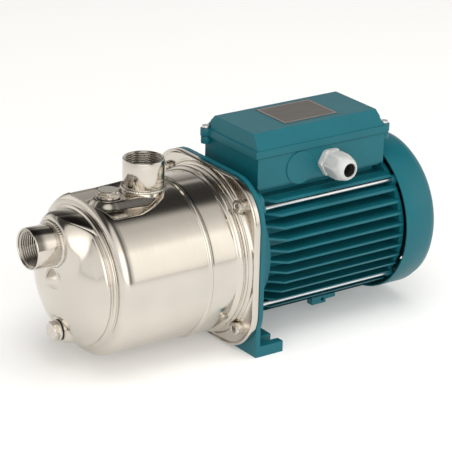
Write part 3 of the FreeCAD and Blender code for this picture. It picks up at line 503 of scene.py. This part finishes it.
def gland():
    """The cable gland: a hexagon base, its domed nut and the split fingers that grip a cable."""
    lo, hi = span("gland_nut")
    body_lo, body_hi = span("gland_body")
    wall = -span("terminal_box")[1].y
    x, z = (lo.x + hi.x) / 2, (lo.z + hi.z) / 2
    place = frame_along((x, wall, z), (0, -1, 0))
    inner, outer = wall - body_hi.y, wall - body_lo.y
    flats = 25
    stations = [
        (inner, 6.0), (inner, 7.4), (inner + 0.6, 8.0), (0, 8.0), (0, 13.6, flats), (0.6, 14.3, flats),
        (5.0, 14.3, flats), (5.9, 13.0, flats), (6.0, 11.6), (8.4, 11.4), (8.7, 11.0), (8.7, 9.0),
        (outer, 9.0), (outer, 6.0), (inner, 6.0),
    ]
    piece("gland_base", sheet_mesh("gland_base", spun_rows(place, stations)), "plastic_grey",
          stands_for=["gland_body"])
    start, end = wall - hi.y, wall - lo.y
    flats = 24
    stations = [
        (start + 6, 9.1), (start, 9.1), (start, 12.2, flats), (start + 0.7, 13.6, flats),
        (end - 12.0, 13.8, flats), (end - 9.0, 13.0, flats), (end - 7.5, 12.3), (end - 5.4, 11.7),
        (end - 3.2, 10.8), (end - 1.5, 9.7), (end - 0.4, 8.5), (end, 7.7), (end - 0.2, 7.2), (end - 1.0, 7.0),
        (end - 5.5, 7.0), (end - 5.5, 9.1), (start + 6, 9.1),
    ]
    piece("gland_cap", sheet_mesh("gland_cap", spun_rows(place, stations)), "plastic_grey", "gland_nut",
          ["gland_nut"])

    def fingers(angle, height):
        return 5.7 + 0.9 * abs(math.sin(6 * angle))

    rows = spun_rows(place, [(end - 1.6, 6.95), (end - 1.6, fingers), (end - 5.4, fingers)], 144)
    piece("gland_fingers", sheet_mesh("gland_fingers", rows), "rubber_black", "gland_seal")


gland()


def plate_line():
    """The thin bright line round the blank rating plate."""
    lo, hi = span("rating_plate")
    rows = []
    for inset, lift in ((1.6, 0.0), (1.7, 0.06), (2.5, 0.06), (2.6, 0.0)):
        ring = [(lo.x + inset, lo.y + inset), (hi.x - inset, lo.y + inset),
                (hi.x - inset, hi.y - inset), (lo.x + inset, hi.y - inset)]
        rows.append([at(x, y, hi.z + lift) for x, y in ring])
    piece("plate_line", sheet_mesh("plate_line", rows), "plate_line")


plate_line()


# ---------------------------------------------------------------- CAD nodes that stay

# the rounding of a node's edges, in millimetres
BEVEL = {
    "terminal_lid": 1.2, "terminal_box": 0.8, "pump_bracket": 0.8, "motor_housing": 0.5, "fan_cover": 0.9,
    "tie_rods": 0.3, "tie_rod_nuts": 0.3, "lid_screws": 0.6, "fan_cover_screws": 0.5, "rating_plate": 0.15,
}


def dress(name, made):
    """The slot's finish and rounded edges on a CAD node, whose own mesh stays as it is."""
    made.data.materials.clear()
    made.data.materials.append(FINISH[SLOT_OF[name]])
    weld_points = made.modifiers.new("weld", "WELD")
    weld_points.merge_threshold = TOUCH
    if name in BEVEL:
        flat = made.modifiers.new("flat", "DECIMATE")
        flat.decimate_type = "DISSOLVE"
        flat.angle_limit = math.radians(0.4)
        soft = made.modifiers.new("soft", "BEVEL")
        soft.width = BEVEL[name] * MM
        soft.segments = 2
        soft.limit_method = "ANGLE"
        soft.angle_limit = math.radians(40)


def relief_under_box(housing):
    """Cut the housing's pad back under the terminal box, so that a dark gap shows there."""
    box_lo, box_hi = span("terminal_box")
    inner, outer = 30, 48
    low, high = 55.2, 63.2
    form = bmesh.new()
    for side in (-1, 1):
        for corner in bmesh.ops.create_cube(form, size=1)["verts"]:
            share = corner.co + Vector((0.5, 0.5, 0.5))
            corner.co = at(mix(box_lo.x + 3, box_hi.x - 1, share.x), side * mix(inner, outer, share.y),
                           mix(low, high, share.z))
    mesh = bpy.data.meshes.new("gap_tool")
    bmesh.ops.recalc_face_normals(form, faces=form.faces)
    form.to_mesh(mesh)
    form.free()
    tool = bpy.data.objects.new("gap_tool", mesh)
    bpy.context.scene.collection.objects.link(tool)
    tool.hide_render = True
    tool.hide_viewport = True
    gap = housing.modifiers.new("gap", "BOOLEAN")
    gap.operation = "DIFFERENCE"
    gap.solver = "EXACT"
    gap.object = tool


relief_under_box(frame["nodes"]["motor_housing"])
for name, made in frame["nodes"].items():
    if not made.hide_render:
        dress(name, made)


# ---------------------------------------------------------------- stage, light and camera

def floor():
    """A pale floor that gives off a little light of its own."""
    half, colour = 6, (0.86, 0.86, 0.855)
    mesh = bpy.data.meshes.new("floor")
    corners = [(-half, -half, 0), (half, -half, 0), (half, half, 0), (-half, half, 0)]
    mesh.from_pydata(corners, [], [(0, 1, 2, 3)])
    made = bpy.data.objects.new("floor", mesh)
    bpy.context.scene.collection.objects.link(made)
    paint = bpy.data.materials.new("floor")
    paint.use_nodes = True
    shader = paint.node_tree.nodes["Principled BSDF"]
    shader.inputs["Base Color"].default_value = (*colour, 1)
    shader.inputs["Roughness"].default_value = 0.9
    shader.inputs["Specular IOR Level"].default_value = 0.1
    shader.inputs["Emission Color"].default_value = (*colour, 1)
    shader.inputs["Emission Strength"].default_value = 0.18
    mesh.materials.append(paint)


floor()


def area(name, where, target, size, power):
    """A soft lamp that shows in no reflection."""
    data = bpy.data.lights.new(name, "AREA")
    data.shape = "RECTANGLE"
    data.size, data.size_y = size
    data.energy = power
    made = bpy.data.objects.new(name, data)
    bpy.context.scene.collection.objects.link(made)
    made.location = where
    made.rotation_euler = (Vector(target) - Vector(where)).to_track_quat("-Z", "Y").to_euler()
    made.visible_glossy = False


area("overhead", (0.1, -0.3, 2.2), (0, 0, 0.1), size=(2.4, 2.0), power=34)
area("front", (-0.9, -2.2, 0.45), (0, 0, 0.12), size=(3.0, 1.1), power=22)

WARM = (1.0, 0.985, 0.96)
END_TONE = (1.1, 1.085, 1.06, 1)


def grade(ramp, stops):
    """Fill a colour ramp with warm white levels at their positions."""
    while len(ramp.elements) < len(stops):
        ramp.elements.new(0.5)
    for element, (position, level) in zip(ramp.elements, stops):
        element.position = position
        element.color = (*(level * part for part in WARM), 1)


def studio_world():
    """The room: a bright low front, a dark ceiling and a pale back, as bands about the X axis."""
    world = bpy.data.worlds.new("studio")
    world.use_nodes = True
    tree = world.node_tree
    back = tree.nodes["Background"]
    ray = node_of(tree, "TexCoord").outputs["Generated"]
    parts = node_of(tree, "SeparateXYZ", [("Vector", ray)])
    front = node_of(tree, "Math", [(0, parts.outputs["Y"]), (1, -1.0)], operation="MULTIPLY").outputs[0]
    turn = node_of(tree, "Math", [(0, parts.outputs["Z"]), (1, front)], operation="ARCTAN2").outputs[0]
    share = node_of(tree, "MapRange", [("Value", turn), ("From Min", -math.pi), ("From Max", math.pi)])
    ramp = node_of(tree, "ValToRGB", [("Fac", share.outputs["Result"])])
    # degrees above the front horizon, going over the top to the back
    bands = [(-180, 0.85), (-40, 0.95), (-14, 1.05), (-4, 1.25), (8, 1.55), (38, 1.75), (46, 1.25), (56, 1.0),
             (66, 0.82), (78, 0.72), (87, 0.10), (92, 0.05), (110, 0.05), (127, 0.09), (131, 0.55),
             (135, 0.62), (139, 0.14), (145, 0.36), (152, 0.5), (165, 0.8), (180, 0.95)]
    grade(ramp.color_ramp, [((degrees + 180) / 360, level) for degrees, level in bands])
    # the dark gap between the long front panel and the one at the suction end
    across = node_of(tree, "MapRange", [
        ("Value", parts.outputs["X"]), ("From Min", -1.0), ("From Max", 1.0)])
    gap = node_of(tree, "ValToRGB", [("Fac", across.outputs["Result"])])
    grade(gap.color_ramp, [(0.0, 1.35), (0.40, 1.35), (0.50, 0.9), (0.56, 0.22), (0.67, 0.22), (0.74, 1.0)])
    both = node_of(tree, "VectorMath", [(0, ramp.outputs["Color"]), (1, gap.outputs["Color"])],
                   operation="MULTIPLY")
    # the bands meet at the two ends of the X axis, so they fade into one plain tone before they get there
    end = node_of(tree, "Math", [(0, parts.outputs["X"])], operation="ABSOLUTE").outputs[0]
    fade = node_of(tree, "MapRange", [("Value", end), ("From Min", 0.80), ("From Max", 0.96)])
    plain = node_of(tree, "Mix", data_type="RGBA")
    plain.inputs[7].default_value = END_TONE
    tree.links.new(fade.outputs["Result"], plain.inputs["Factor"])
    tree.links.new(both.outputs["Vector"], plain.inputs[6])
    tree.links.new(plain.outputs[2], back.inputs["Color"])
    back.inputs["Strength"].default_value = 0.92
    bpy.context.scene.world = world


studio_world()


def camera():
    """A long lens at the photograph's angle; its place, turn and lens come from a camera fit."""
    where = Vector((-1.24491, -1.77317, 0.95147))
    yaw, pitch, roll = (math.radians(v) for v in (-35.509, -21.253, 1.447))
    ahead = Vector((-math.sin(yaw) * math.cos(pitch), math.cos(yaw) * math.cos(pitch), math.sin(pitch)))
    right = Vector((math.cos(yaw), math.sin(yaw), 0))
    up = right.cross(ahead)
    side = right * math.cos(roll) + up * math.sin(roll)
    top = up * math.cos(roll) - right * math.sin(roll)
    data = bpy.data.cameras.new("camera")
    data.sensor_width = 36
    data.lens = 191.66
    data.clip_start, data.clip_end = 0.05, 50
    made = bpy.data.objects.new("camera", data)
    bpy.context.scene.collection.objects.link(made)
    axes = Matrix((side, top, -ahead)).transposed()
    made.matrix_world = Matrix.Translation(where) @ axes.to_4x4()
    bpy.context.scene.camera = made


camera()
view = bpy.context.scene.view_settings
view.view_transform = "Standard"
view.look = "None"
